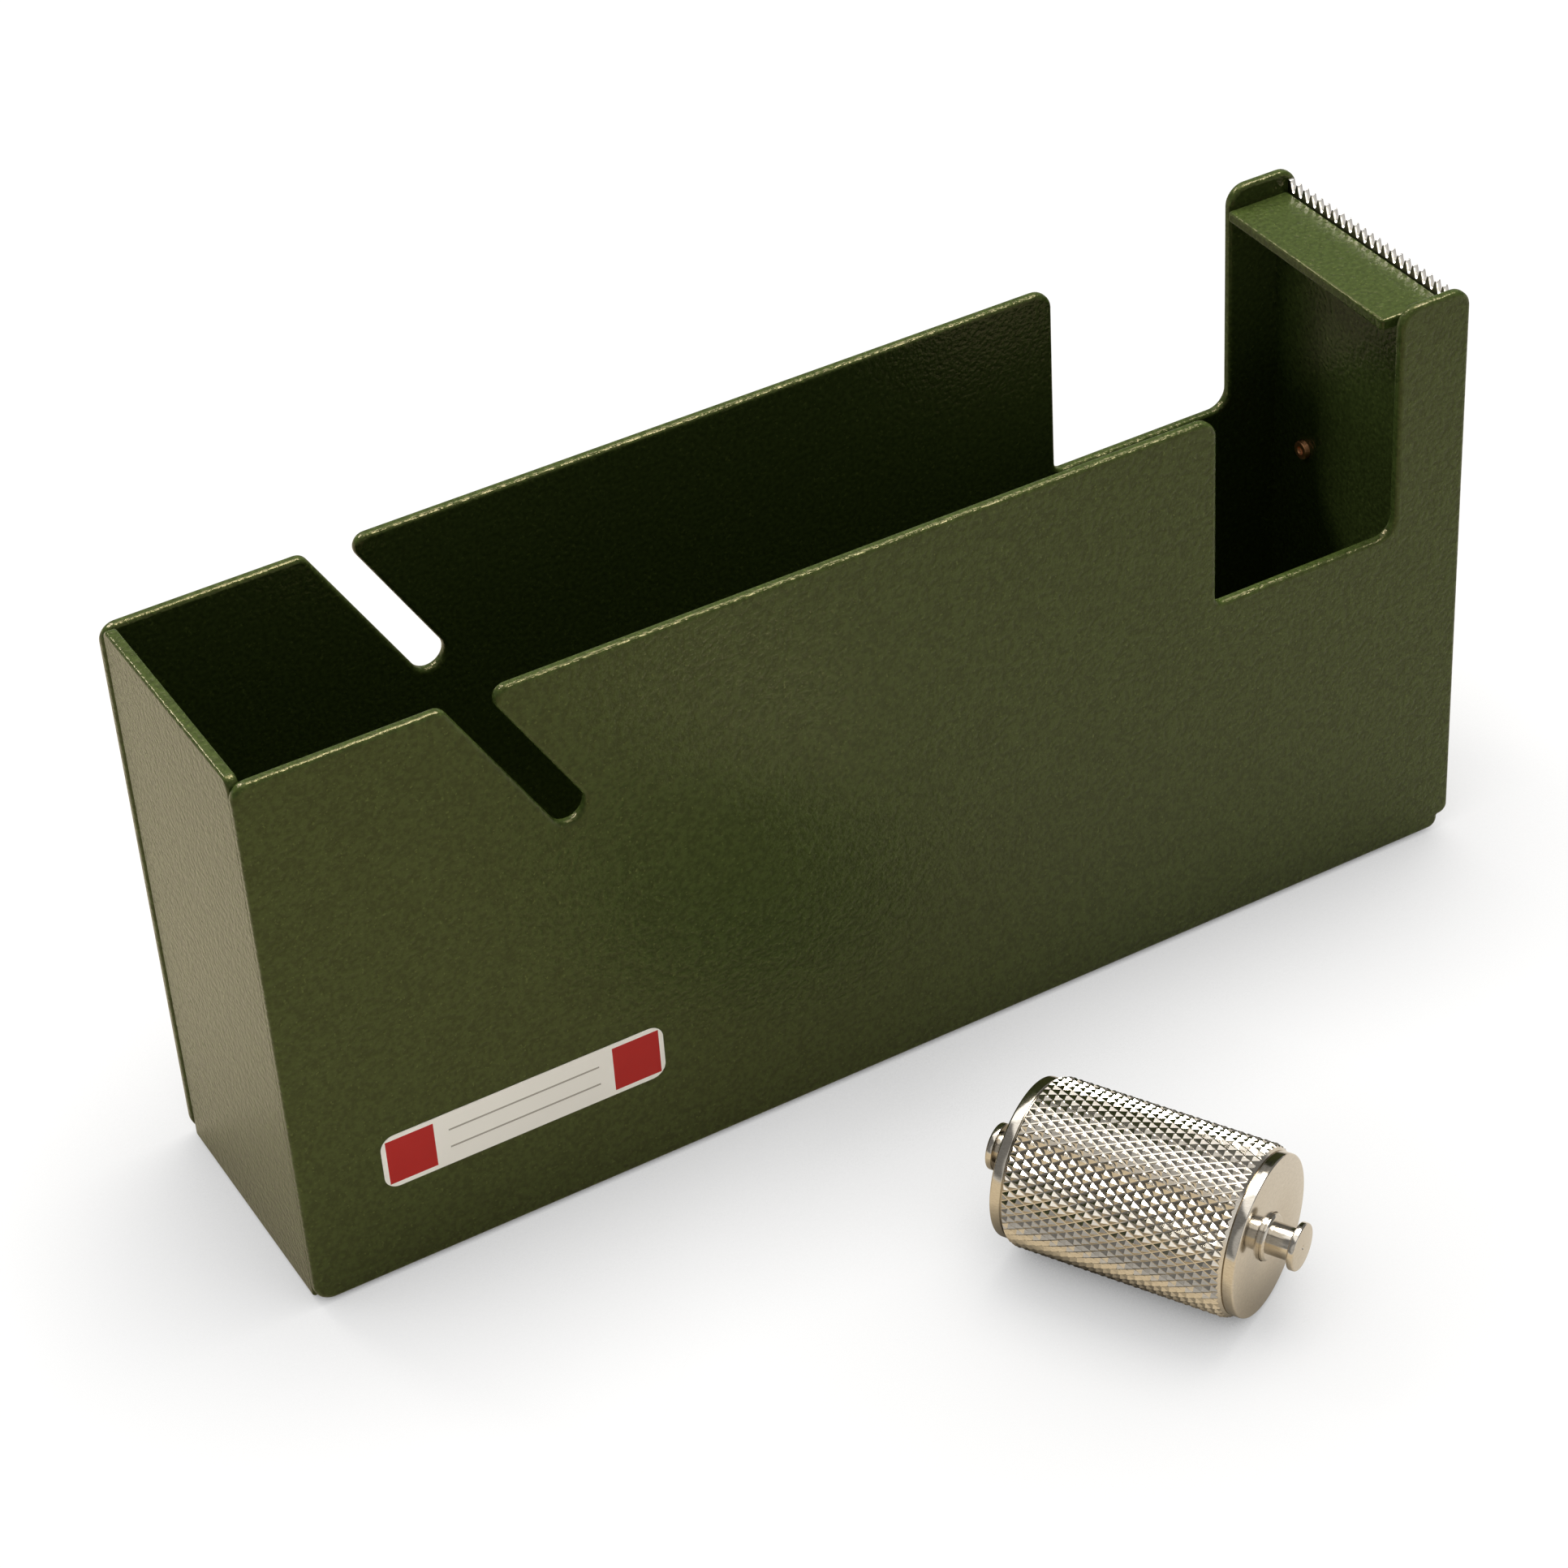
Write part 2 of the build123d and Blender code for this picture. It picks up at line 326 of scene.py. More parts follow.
@dataclass(frozen=True)
class BladeSteel(Finish):
    """Hardened strip steel, darker on its two flat faces than on every edge, so gullets read light
    on dark.
    """

    ground: str = "#cbc8c2"
    flat_face_colour: str = "#6c6963"
    roughness: float = 0.3
    # Real grinding marks are finer than this; they are drawn as coarse as they need to show.
    mark_mm: float = 0.5
    mark_height_mm: float = 0.001
    mark_detail: float = 3.0
    facing_stops: Pair = (0.45, 0.8)

    def surface(self, tree: bpy.types.NodeTree) -> Links:
        """Dark where the strip's flat faces look along the body, light on every edge.

        Args:
            tree: the material's node tree.

        Returns:
            The shader's inputs.
        """
        place = add_node(tree, "ShaderNodeTexCoord").outputs
        facing = add_node(tree, "ShaderNodeSeparateXYZ", {"Vector": place["Normal"]})
        flat = add_node(
            tree, "ShaderNodeMath", {0: facing.outputs["X"]}, operation="ABSOLUTE"
        )
        tone = add_node(tree, "ShaderNodeValToRGB", {"Fac": flat.outputs["Value"]})
        set_ramp(tone, self.facing_stops, (self.ground, self.flat_face_colour))
        marks = add_node(
            tree,
            "ShaderNodeTexNoise",
            {
                "Vector": place["Object"],
                "Scale": 1 / (self.mark_mm * MM),
                "Detail": self.mark_detail,
            },
        )
        bump = add_node(
            tree,
            "ShaderNodeBump",
            {
                "Strength": 1.0,
                "Distance": self.mark_height_mm * MM,
                "Height": marks.outputs["Fac"],
            },
        )
        return {
            "Base Color": tone.outputs["Color"],
            "Metallic": 1.0,
            "Roughness": self.roughness,
            "Normal": bump.outputs["Normal"],
        }


@dataclass(frozen=True)
class PrintedFilm(Finish):
    """Vinyl film with plain printed fields: even colour under a slightly soft gloss."""

    film: str = "#fdfaf3"
    ink: str = "#b71c1a"
    rule: str = "#a9a499"
    roughness: float = 0.32
    roughness_swing: float = 0.2
    gloss: float = 0.2
    centre_mm: Pair = (0.0, 0.0)
    field_from_mm: float = 19.0
    field_to_mm: float = 29.0
    field_half_tall_mm: float = 5.2
    rule_height_mm: float = 2.1
    rule_half_wide_mm: float = 0.2
    rule_reach_mm: float = 16.0
    # A real print's grain is finer than this; it is drawn as coarse as it needs to show.
    print_grain_mm: float = 0.5

    def surface(self, tree: bpy.types.NodeTree) -> Links:
        """Two coloured end fields and two writing rules on a pale film.

        Args:
            tree: the material's node tree.

        Returns:
            The shader's inputs.
        """
        place = add_node(tree, "ShaderNodeTexCoord").outputs["Object"]
        shift = (-self.centre_mm[0] * MM, 0.0, -self.centre_mm[1] * MM)
        centred = add_node(tree, "ShaderNodeVectorMath", {0: place, 1: shift}, operation="ADD")
        folded = add_node(
            tree, "ShaderNodeVectorMath", {0: centred.outputs["Vector"]}, operation="ABSOLUTE"
        )
        axes = add_node(tree, "ShaderNodeSeparateXYZ", {"Vector": folded.outputs["Vector"]})
        along, up = axes.outputs["X"], axes.outputs["Z"]
        field_mid = (self.field_from_mm + self.field_to_mm) / 2
        field_half = (self.field_to_mm - self.field_from_mm) / 2
        # Each mark's two bands: the value to test, the band's centre and half its width in mm.
        bands = {
            "field": ((along, field_mid, field_half), (up, 0.0, self.field_half_tall_mm)),
            "rule": (
                (along, 0.0, self.rule_reach_mm),
                (up, self.rule_height_mm, self.rule_half_wide_mm),
            ),
        }
        marks = {}
        for mark, tests in bands.items():
            across, tall = (
                add_node(
                    tree,
                    "ShaderNodeMath",
                    {0: value, 1: centre * MM, 2: half * MM},
                    operation="COMPARE",
                ).outputs["Value"]
                for value, centre, half in tests
            )
            marks[mark] = add_node(
                tree, "ShaderNodeMath", {0: across, 1: tall}, operation="MULTIPLY"
            ).outputs["Value"]
        lined = add_node(
            tree,
            "ShaderNodeMix",
            {"Factor": marks["rule"], "A": linear(self.film), "B": linear(self.rule)},
            data_type="RGBA",
        )
        printed = add_node(
            tree,
            "ShaderNodeMix",
            {"Factor": marks["field"], "A": lined.outputs["Result"], "B": linear(self.ink)},
            data_type="RGBA",
        )
        grain = add_node(
            tree,
            "ShaderNodeTexNoise",
            {"Vector": place, "Scale": 1 / (self.print_grain_mm * MM)},
        )
        rough = add_node(
            tree,
            "ShaderNodeMapRange",
            {
                "Value": grain.outputs["Fac"],
                "To Min": self.roughness * (1 - self.roughness_swing),
                "To Max": self.roughness * (1 + self.roughness_swing),
            },
        )
        return {
            "Base Color": printed.outputs["Result"],
            "Roughness": rough.outputs["Result"],
            "Specular IOR Level": self.gloss,
        }


@dataclass(frozen=True)
class MouldedRubber(Finish):
    """Moulded black rubber: dull, with a fine dry bloom."""

    colour: str = "#191919"
    bloom: str = "#2b2a28"
    roughness: float = 0.7
    # A real mould's grain is finer than this; it is drawn as coarse as it needs to show.
    grain_mm: float = 0.6
    grain_height_mm: float = 0.02
    grain_detail: float = 4.0
    tone_stops: Pair = (0.4, 0.7)

    def surface(self, tree: bpy.types.NodeTree) -> Links:
        """Cloudy bloom and a fine skin.

        Args:
            tree: the material's node tree.

        Returns:
            The shader's inputs.
        """
        place = add_node(tree, "ShaderNodeTexCoord").outputs["Object"]
        skin = add_node(
            tree,
            "ShaderNodeTexNoise",
            {"Vector": place, "Scale": 1 / (self.grain_mm * MM), "Detail": self.grain_detail},
        ).outputs["Fac"]
        tone = add_node(tree, "ShaderNodeValToRGB", {"Fac": skin})
        set_ramp(tone, self.tone_stops, (self.colour, self.bloom))
        bump = add_node(
            tree,
            "ShaderNodeBump",
            {"Strength": 1.0, "Distance": self.grain_height_mm * MM, "Height": skin},
        )
        return {
            "Base Color": tone.outputs["Color"],
            "Roughness": self.roughness,
            "Normal": bump.outputs["Normal"],
        }


def piece_from(
    bm: bmesh.types.BMesh, name: str, finish: Finish, body: Body, nodes: Sequence[str]
) -> bpy.types.Object:
    """Turns a finished bmesh into a piece that rides on a body and stands for CAD nodes.

    Args:
        bm: the mesh, in place in the part's frame; it is freed.
        name: the piece's name.
        finish: its finish.
        body: the body that carries it.
        nodes: the CAD nodes that it replaces.

    Returns:
        The new object.
    """
    mesh = bpy.data.meshes.new(name)
    bm.to_mesh(mesh)
    bm.free()
    piece = bpy.data.objects.new(name, mesh)
    bpy.context.scene.collection.objects.link(piece)
    mesh.materials.append(finish.material())
    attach(piece, body.value)
    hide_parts(*nodes)
    LOG.info("%s on %s: %d faces", name, body.value, len(mesh.polygons))
    return piece


def rounded_copy(
    node: str, edge_round: float, segments: int, flat_over: float, clamp: bool = True
) -> bmesh.types.BMesh:
    """A merged copy of a CAD node's mesh with its sharp edges rounded.

    Args:
        node: the CAD node.
        edge_round: how far from an edge the round starts, in mm.
        segments: facets across the round.
        flat_over: faces larger than this, in square mm, are shaded flat.
        clamp: whether the round shrinks to fit the mesh's shortest edges.

    Returns:
        The rounded mesh, in the part's frame.
    """
    bm = bmesh.new()
    bm.from_mesh(frame["nodes"][node].data)
    bmesh.ops.remove_doubles(bm, verts=bm.verts[:], dist=WELD)
    bmesh.ops.dissolve_limit(
        bm,
        angle_limit=COPLANAR,
        use_dissolve_boundaries=False,
        verts=bm.verts[:],
        edges=bm.edges[:],
        delimit=set(),
    )
    edges = [edge for edge in bm.edges if edge.is_manifold and edge.calc_face_angle() > SHARP]
    bmesh.ops.bevel(
        bm,
        geom=edges,
        offset=edge_round * MM,
        offset_type="OFFSET",
        segments=segments,
        profile=0.5,
        affect="EDGES",
        clamp_overlap=clamp,
        material=-1,
    )
    for face in bm.faces:
        face.smooth = face.calc_area() < flat_over * MM * MM
    return bm


def turned(profile: Sequence[Point], steps: int, closed: bool) -> bmesh.types.BMesh:
    """Spins a profile about the X axis.

    Args:
        profile: each point's distance along the axis, radius and corner round, in mm.
        steps: facets around.
        closed: whether the last point joins the first one.

    Returns:
        The turned mesh about its own axis.
    """
    bm = bmesh.new()
    points = [bm.verts.new((along * MM, 0.0, radius * MM)) for along, radius, _ in profile]
    ends = points[1:] + points[:1] if closed else points[1:]
    for first, second in zip(points, ends):
        bm.edges.new((first, second))
    for point, (_, _, corner) in zip(points, profile):
        if corner:
            bmesh.ops.bevel(
                bm,
                geom=[point],
                offset=corner * MM,
                offset_type="OFFSET",
                segments=CORNER_SEGMENTS,
                profile=0.5,
                affect="VERTICES",
                material=-1,
            )
    bmesh.ops.spin(
        bm,
        geom=bm.verts[:] + bm.edges[:],
        cent=(0, 0, 0),
        axis=(1, 0, 0),
        angle=FULL_TURN,
        steps=steps,
        use_merge=True,
    )
    bmesh.ops.remove_doubles(bm, verts=bm.verts[:], dist=WELD)
    bmesh.ops.recalc_face_normals(bm, faces=bm.faces[:])
    return bm


def smooth_but_for(piece: bpy.types.Object, degrees: float) -> None:
    """Shades a piece smooth, apart from edges sharper than an angle."""
    piece.data.shade_smooth()
    piece.data.set_sharp_from_angle(angle=math.radians(degrees))


@dataclass
class PaintedShell:
    """The welded sheet-steel body, whose paint rounds every cut edge."""

    finish: PowderCoat
    plates: tuple[str, ...] = (
        "near_side_plate",
        "far_side_plate",
        "rear_wall",
        "base_plate",
        "front_wall",
        "tape_shelf",
    )
    # The two punched plates have the fuller rounds, on which the light glints.
    punched: tuple[str, ...] = ("near_side_plate", "far_side_plate")
    edge_round_mm: float = 0.55
    punched_round_mm: float = 0.85
    edge_segments: int = 4
    flat_over_mm2: float = 12.0

    def build(self) -> list[bpy.types.Object]:
        """Every plate with rounded and painted edges."""
        return [self.plate(node) for node in self.plates]

    def plate(self, node: str) -> bpy.types.Object:
        """One plate with its painted edges.

        Args:
            node: the plate's CAD node.

        Returns:
            The piece that stands for it.
        """
        punched = node in self.punched
        edge_round = self.punched_round_mm if punched else self.edge_round_mm
        bm = rounded_copy(
            node, edge_round, self.edge_segments, self.flat_over_mm2, clamp=not punched
        )
        return piece_from(bm, f"{node}_painted", self.finish, Body.SHELL, [node])


@dataclass
class Cutter:
    """The saw-toothed blade and the two screws that hold it."""

    blade_finish: BladeSteel
    screw_finish: PlatedMetal
    blade_round_mm: float = 0.08
    screw_round_mm: float = 0.12
    segments: int = 2
    flat_over_mm2: float = 4.0

    def build(self) -> list[bpy.types.Object]:
        """Grinds the blade's edges and breaks those of the screws.

        Returns:
            The blade and the screws, each in place of its CAD node.
        """
        shape = (self.segments, self.flat_over_mm2)
        blade = rounded_copy("cutter_blade", self.blade_round_mm, *shape)
        screws = rounded_copy("blade_screws", self.screw_round_mm, *shape)
        rows = (
            (blade, "cutter_blade_ground", self.blade_finish, "cutter_blade"),
            (screws, "blade_screws_plated", self.screw_finish, "blade_screws"),
        )
        return [
            piece_from(bm, name, finish, Body.SHELL, [node]) for bm, name, finish, node in rows
        ]


@dataclass
class NameLabel:
    """A plain writing label stuck on the near side plate."""

    film_round_mm: float = 0.05
    segments: int = 2
    flat_over_mm2: float = 40.0

    def build(self) -> list[bpy.types.Object]:
        """Cuts the film and centres its print on the CAD label.

        Returns:
            The label, as a list of one piece.
        """
        low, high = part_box("blank_label")
        middle = (low + high) / (2 * MM)
        centre = (middle.x, middle.z)
        finish = PrintedFilm("printed_vinyl_film", Slot.LABEL, centre_mm=centre)
        bm = rounded_copy("blank_label", self.film_round_mm, self.segments, self.flat_over_mm2)
        return [piece_from(bm, "name_label_film", finish, Body.SHELL, ["blank_label"])]


@dataclass
class RubberFeet:
    """Four moulded feet under the base plate."""

    finish: MouldedRubber
    feet: tuple[str, ...] = (
        "foot_rear_near",
        "foot_rear_far",
        "foot_front_near",
        "foot_front_far",
    )
    edge_round_mm: float = 0.4
    segments: int = 3
    flat_over_mm2: float = 40.0

    def build(self) -> list[bpy.types.Object]:
        """Gives every foot a soft rim.

        Returns:
            The four feet.
        """
        pieces = []
        for node in self.feet:
            bm = rounded_copy(node, self.edge_round_mm, self.segments, self.flat_over_mm2)
            pieces.append(piece_from(bm, f"{node}_rubber", self.finish, Body.SHELL, [node]))
        return pieces


@dataclass
class KnurledRoller:
    """The lift-out roller: a diamond-knurled drum with two caps, turning on a grooved axle."""

    finish: PlatedMetal
    bush_finish: PlatedMetal
    joint: str = "roller_spin"
    bushes: tuple[str, ...] = ("bush_right", "bush_left")
    facets_around: int = 128
    # Edges that turn by more than these degrees stay sharp.
    knurl_crease: float = 18.0
    turned_crease: float = 30.0
    drum_radius_mm: float = 16.85
    drum_half_mm: float = 22.45
    chamfer_mm: float = 1.0
    diamonds_around: int = 54
    diamond_long_mm: float = 3.45
    groove_deep_mm: float = 0.55
    valley_half_mm: float = 0.09
    flank_mm: float = 0.66
    crest_gap_mm: float = 0.04
    cap_radius_mm: float = 15.85
    cap_flange_mm: float = 2.4
    cap_rim_round_mm: float = 0.4
    cap_edge_round_mm: float = 0.1
    cap_seam_mm: float = 0.3
    cap_spigot_radius_mm: float = 13.85
    cap_spigot_mm: float = 8.0
    cap_bore_mm: float = 4.75
    bush_radius_mm: float = 6.3
    bush_long_mm: float = 7.0
    axle_radius_mm: float = 4.65
    axle_middle_radius_mm: float = 6.0
    axle_middle_half_mm: float = 14.15
    neck_radius_mm: float = 3.2
    neck_from_mm: float = 25.7
    neck_to_mm: float = 30.2
    tip_mm: float = 31.6
    collar_chamfer_mm: float = 0.4
    collar_round_mm: float = 0.08
    head_round_mm: float = 0.4
    head_back_round_mm: float = 0.25
    mark_radius_mm: float = 0.5
    mark_deep_mm: float = 0.6

    def place(self) -> Matrix:
        """Finds where the roller lies, from the joint that its drum turns on.

        Returns:
            The move from the roller's own axis to its place in the part's frame.
        """
        joint = next(joint for joint in frame["joints"] if joint["name"] == self.joint)
        axis = Vector(joint["axis"])
        turn = Matrix.Rotation(math.atan2(axis.y, axis.x), 4, "Z")
        return Matrix.Translation(joint["pos_m"]) @ turn

    def build(self) -> list[bpy.types.Object]:
        """Turns the roller's pieces and dresses its bushes.

        Returns:
            The drum, its caps and its axle, each in place of its CAD node.
        """
        pieces = [self.drum(), self.cap("right", 1), self.cap("left", -1), self.axle()]
        for node in self.bushes:
            self.dress_bush(node)
        return pieces

    def dress_bush(self, node: str) -> None:
        """Gives a bush, which keeps its CAD shape, its finish.

        Args:
            node: the bush's CAD node.
        """
        bush = frame["nodes"][node]
        if not bush.material_slots:
            bush.data.materials.append(None)
        for slot in bush.material_slots:
            slot.material = self.bush_finish.material()
        LOG.info("%s on %s: its CAD shape", node, Body.DRUM.value)

    def knurled_bar(self) -> bmesh.types.BMesh:
        """Rolls diamonds between crossed grooves into a bar longer than the drum.

        Returns:
            The closed bar about its own axis.
        """
        bm = bmesh.new()
        crest = self.drum_radius_mm - self.crest_gap_mm
        valley = (crest - self.groove_deep_mm) * MM
        half_angle = math.pi / self.diamonds_around
        half_long = self.diamond_long_mm / 2 * MM
        side_y = valley * math.sin(half_angle)
        side_z = valley * math.cos(half_angle)
        corners = [
            (half_long, 0, valley),
            (0, side_y, side_z),
            (-half_long, 0, valley),
            (0, -side_y, side_z),
        ]
        bm.faces.new([bm.verts.new(corner) for corner in corners])
        bmesh.ops.spin(
            bm,
            geom=bm.faces[:],
            cent=(0, 0, 0),
            axis=(1, 0, 0),
            steps=self.diamonds_around - 1,
            angle=FULL_TURN - 2 * half_angle,
            use_duplicate=True,
        )
        ring = bm.verts[:] + bm.edges[:] + bm.faces[:]
        rows = math.ceil(self.drum_half_mm * MM / half_long) + 1
        for row in range(-rows, rows + 1):
            if row == 0:
                continue
            copied = bmesh.ops.duplicate(bm, geom=ring)["geom"]
            verts = [item for item in copied if isinstance(item, bmesh.types.BMVert)]
            turn = Matrix.Rotation(half_angle * (row % 2), 3, "X")
            bmesh.ops.rotate(bm, verts=verts, cent=(0, 0, 0), matrix=turn)
            bmesh.ops.translate(bm, verts=verts, vec=(row * half_long, 0, 0))
        bmesh.ops.remove_doubles(bm, verts=bm.verts[:], dist=WELD)
        bmesh.ops.recalc_face_normals(bm, faces=bm.faces[:])
        diamonds = bm.faces[:]
        bmesh.ops.inset_individual(
            bm, faces=diamonds, thickness=self.valley_half_mm * MM, use_even_offset=True
        )
        bmesh.ops.inset_individual(
            bm,
            faces=diamonds,
            thickness=self.flank_mm * MM,
            depth=self.groove_deep_mm * MM,
            use_even_offset=True,
        )
        rims = [edge for edge in bm.edges if edge.is_boundary]
        bmesh.ops.holes_fill(bm, edges=rims, sides=0)
        bmesh.ops.recalc_face_normals(bm, faces=bm.faces[:])
        return bm

    def turned_blank(self) -> bmesh.types.BMesh:
        """Turns the drum's outer form, to which the knurled bar is cut down.

        Returns:
            The closed form about its own axis.
        """
        shoulder = self.drum_half_mm - self.chamfer_mm
        end_radius = self.drum_radius_mm - self.chamfer_mm
        profile = [
            (-self.drum_half_mm, 0, 0),
            (-self.drum_half_mm, end_radius, 0),
            (-shoulder, self.drum_radius_mm, 0),
            (shoulder, self.drum_radius_mm, 0),
            (self.drum_half_mm, end_radius, 0),
            (self.drum_half_mm, 0, 0),
        ]
        return turned(profile, self.facets_around, closed=False)

    def drum(self) -> bpy.types.Object:
        """Cuts the knurled bar to length, with its ends chamfered through the knurl.

        Returns:
            The drum.
        """
        meshes = []
        shapes = (("knurled_bar", self.knurled_bar()), ("turned_blank", self.turned_blank()))
        for name, bm in shapes:
            mesh = bpy.data.meshes.new(name)
            bm.to_mesh(mesh)
            bm.free()
            meshes.append(mesh)
        bar, blank = (bpy.data.objects.new(mesh.name, mesh) for mesh in meshes)
        for item in (bar, blank):
            bpy.context.scene.collection.objects.link(item)
        cut = bar.modifiers.new("turn_down", "BOOLEAN")
        cut.operation = "INTERSECT"
        cut.solver = "EXACT"
        cut.object = blank
        depsgraph = bpy.context.evaluated_depsgraph_get()
        shaped = bpy.data.meshes.new_from_object(bar.evaluated_get(depsgraph))
        bm = bmesh.new()
        bm.from_mesh(shaped)
        bmesh.ops.transform(bm, matrix=self.place(), verts=bm.verts[:])
        for item in (bar, blank):
            bpy.data.objects.remove(item)
        for mesh in meshes + [shaped]:
            bpy.data.meshes.remove(mesh)
        piece = piece_from(bm, "roller_drum_knurled", self.finish, Body.DRUM, ["roller_drum"])
        smooth_but_for(piece, self.knurl_crease)
        return piece

    def cap(self, side: str, sign: int) -> bpy.types.Object:
        """Turns an end cap with a rounded rim and a fine seam against the drum.

        Args:
            side: right or left, as in the CAD node's name.
            sign: 1 for the end along the axis, -1 for the other one.

        Returns:
            The cap.
        """
        seat = self.drum_half_mm
        outer = seat + self.cap_flange_mm
        inner_end = seat - self.cap_spigot_mm
        bush_end = inner_end + self.bush_long_mm
        profile = [
            (inner_end, self.bush_radius_mm, 0),
            (inner_end, self.cap_spigot_radius_mm, 0),
            (seat, self.cap_spigot_radius_mm, 0),
            (seat, self.cap_radius_mm - self.cap_seam_mm, 0),
            (seat + self.cap_seam_mm, self.cap_radius_mm, self.cap_edge_round_mm),
            (outer, self.cap_radius_mm, self.cap_rim_round_mm),
            (outer, self.cap_bore_mm, self.cap_edge_round_mm),
            (bush_end, self.cap_bore_mm, 0),
            (bush_end, self.bush_radius_mm, 0),
        ]
        bm = turned(profile, self.facets_around, closed=True)
        if sign < 0:
            half_turn = Matrix.Rotation(math.pi, 3, "Z")
            bmesh.ops.rotate(bm, verts=bm.verts[:], cent=(0, 0, 0), matrix=half_turn)
        bmesh.ops.transform(bm, matrix=self.place(), verts=bm.verts[:])
        node = f"drum_cap_{side}"
        piece = piece_from(bm, f"{node}_turned", self.finish, Body.DRUM, [node])
        smooth_but_for(piece, self.turned_crease)
        return piece

    def axle(self) -> bpy.types.Object:
        """Turns the axle with a neck, a head and a lathe centre mark at each end.

        Returns:
            The axle.
        """
        collar_edge = self.axle_radius_mm - self.collar_chamfer_mm
        half = [
            (self.axle_middle_half_mm, self.axle_middle_radius_mm, 0),
            (self.axle_middle_half_mm, self.axle_radius_mm, 0),
            (
                self.neck_from_mm - self.collar_chamfer_mm,
                self.axle_radius_mm,
                self.collar_round_mm,
            ),
            (self.neck_from_mm, collar_edge, self.collar_round_mm),
            (self.neck_from_mm, self.neck_radius_mm, 0),
            (self.neck_to_mm, self.neck_radius_mm, 0),
            (self.neck_to_mm, self.axle_radius_mm, self.head_back_round_mm),
            (self.tip_mm, self.axle_radius_mm, self.head_round_mm),
            (self.tip_mm, self.mark_radius_mm, 0),
            (self.tip_mm - self.mark_deep_mm, 0, 0),
        ]
        other = [(-along, radius, corner) for along, radius, corner in reversed(half)]
        bm = turned(other + half, self.facets_around, closed=False)
        bmesh.ops.transform(bm, matrix=self.place(), verts=bm.verts[:])
        piece = piece_from(bm, "roller_axle_turned", self.finish, Body.AXLE, ["roller_axle"])
        smooth_but_for(piece, self.turned_crease)
        return piece


@dataclass(frozen=True)
class Lamp:
    """A soft studio lamp: its place, what it looks at, its side in metres, watts and colour."""

    name: str
    stand: Point
    aim: Point
    side: float
    watts: float
    colour: str

    def light(self) -> None:
        """Sets the lamp up."""
        data = bpy.data.lights.new(self.name, "AREA")
        data.shape = "SQUARE"
        data.size = self.side
        data.energy = self.watts
        data.color = linear(self.colour)[:3]
        lamp = bpy.data.objects.new(self.name, data)
        bpy.context.scene.collection.objects.link(lamp)
        lamp.location = self.stand
        sight = Vector(self.aim) - Vector(self.stand)
        lamp.rotation_euler = sight.to_track_quat("-Z", "Y").to_euler()


@dataclass(frozen=True)
class Panel:
    """A bright patch of the studio that only gloss mirrors: its direction, size and strength.

    The half width and the soft edge are in degrees.
    """

    towards: Point
    half_width: float
    strength: float
    soft_edge: float = 5.0


